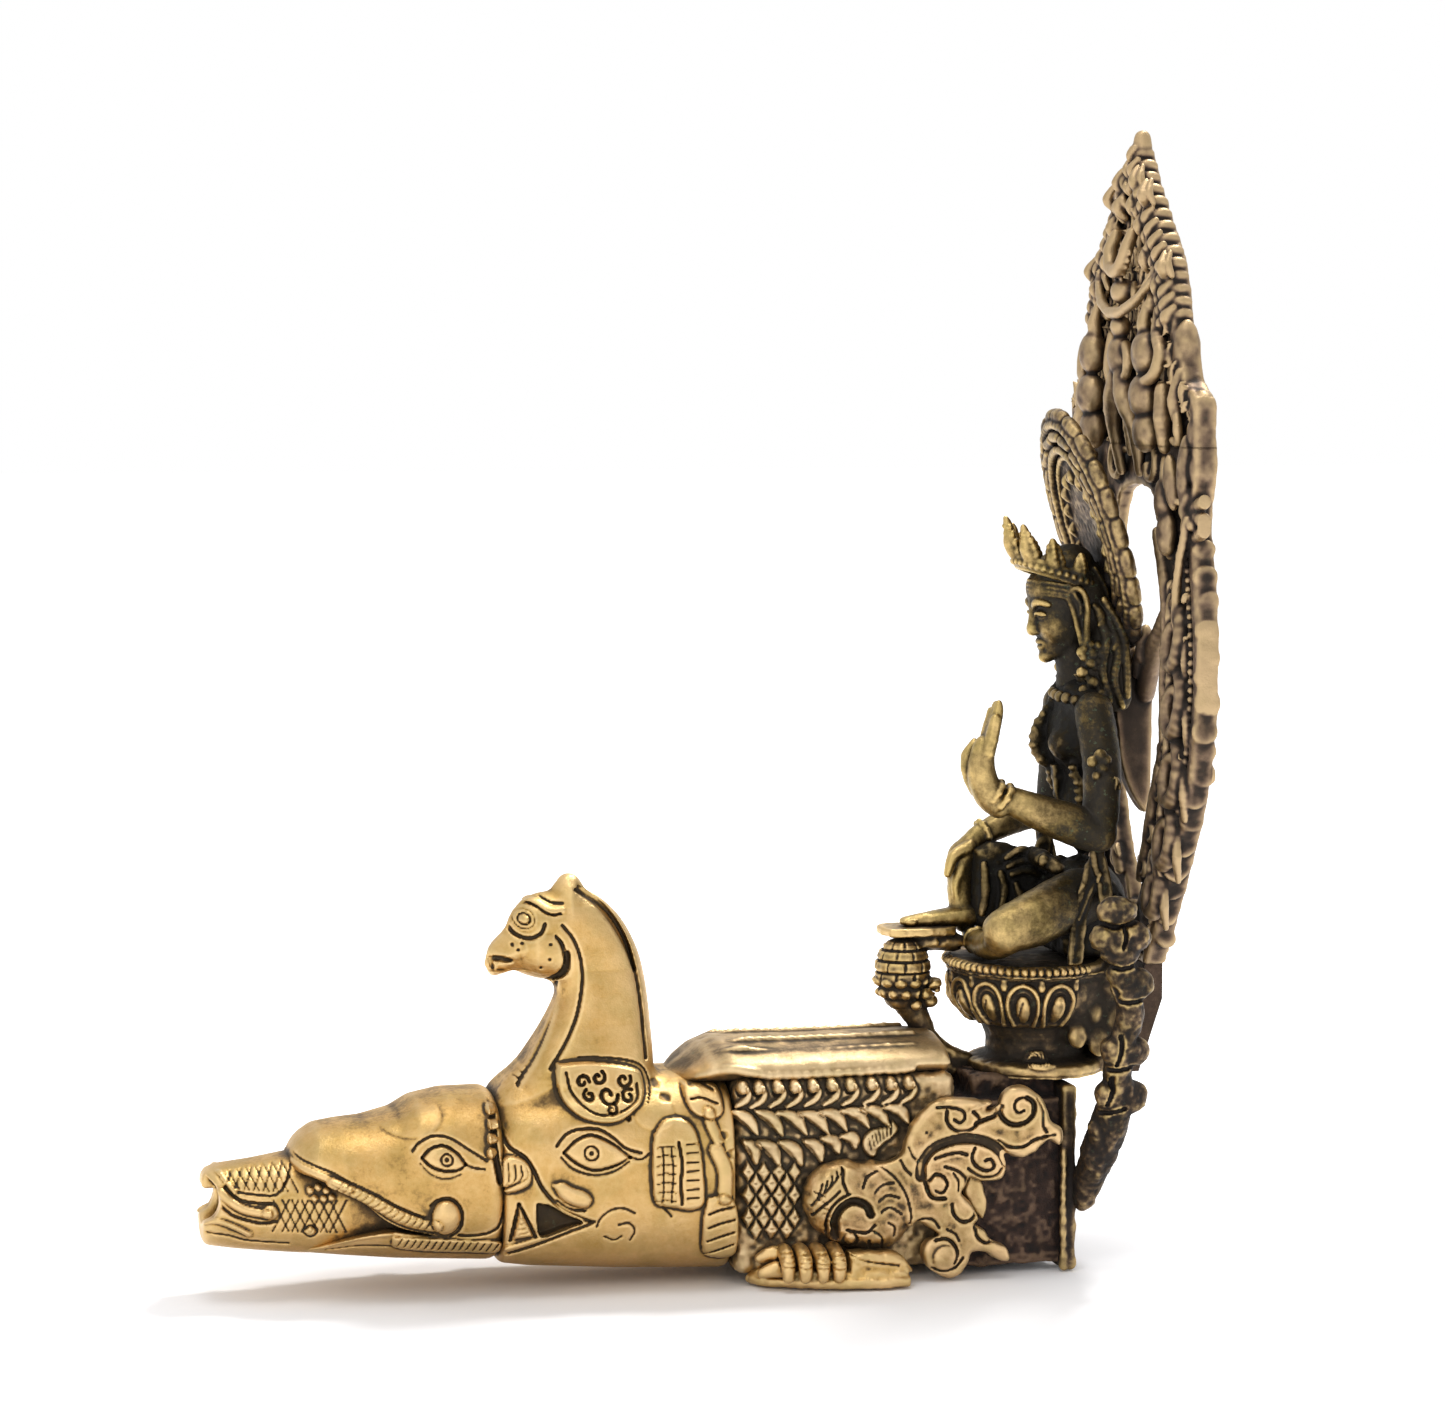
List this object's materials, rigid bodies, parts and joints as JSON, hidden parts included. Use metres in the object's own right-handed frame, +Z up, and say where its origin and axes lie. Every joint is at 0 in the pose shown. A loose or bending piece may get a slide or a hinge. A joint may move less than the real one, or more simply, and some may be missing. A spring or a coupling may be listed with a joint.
{
  "type": "brass makara spout statue",
  "caption": "Cast brass water spout with two makara heads, a bird bust and a seated goddess in front of a leaf-shaped aureole.",
  "frame": {"origin": "centre of the bounding box's bottom, on the surface that the statue stands on", "axes": "+X from the nozzle to the aureole, +Y away from the goddess's left side, +Z up"},
  "size_m": [0.2154, 0.0934, 0.2526],
  "materials": {
    "polished_brass": "rubbed bright on the high parts, brown in the grooves",
    "aged_brass": "brown patina with bright edges",
    "dark_brass": "dark brown patina",
    "rough_brass": "rough red-brown casting skin with green specks"
  },
  "bodies": {
    "root": {"spout_nozzle": "polished_brass", "front_makara_head": "polished_brass", "rear_makara_head": "polished_brass", "bird_bust": "polished_brass", "near_foot": "polished_brass", "far_foot": "polished_brass", "near_haunch_scroll": "polished_brass", "far_haunch_scroll": "polished_brass", "finial": "polished_brass", "makara_trunk": "aged_brass", "trunk_cover": "aged_brass", "throne_base_disc": "aged_brass", "lotus_bowl": "aged_brass", "seat_plate": "aged_brass", "foot_rest_bud": "aged_brass", "foot_plate": "aged_brass", "hips": "aged_brass", "torso": "aged_brass", "head": "aged_brass", "crown": "aged_brass", "left_arm": "aged_brass", "right_arm": "aged_brass", "left_leg": "aged_brass", "right_leg": "aged_brass", "near_flame_border": "aged_brass", "far_flame_border": "aged_brass", "nimbus_bead_ring": "aged_brass", "back_stand": "dark_brass", "near_side_branch": "dark_brass", "far_side_branch": "dark_brass", "throne_waist": "dark_brass", "foot_rest_stem": "dark_brass", "near_earring": "dark_brass", "far_earring": "dark_brass", "near_ribbon": "dark_brass", "far_ribbon": "dark_brass", "near_aureole_band": "dark_brass", "far_aureole_band": "dark_brass", "crest_panel": "dark_brass", "aureole_tang": "dark_brass", "back_web": "dark_brass", "head_nimbus": "dark_brass", "inlet_box": "rough_brass"}
  },
  "joints": []
}
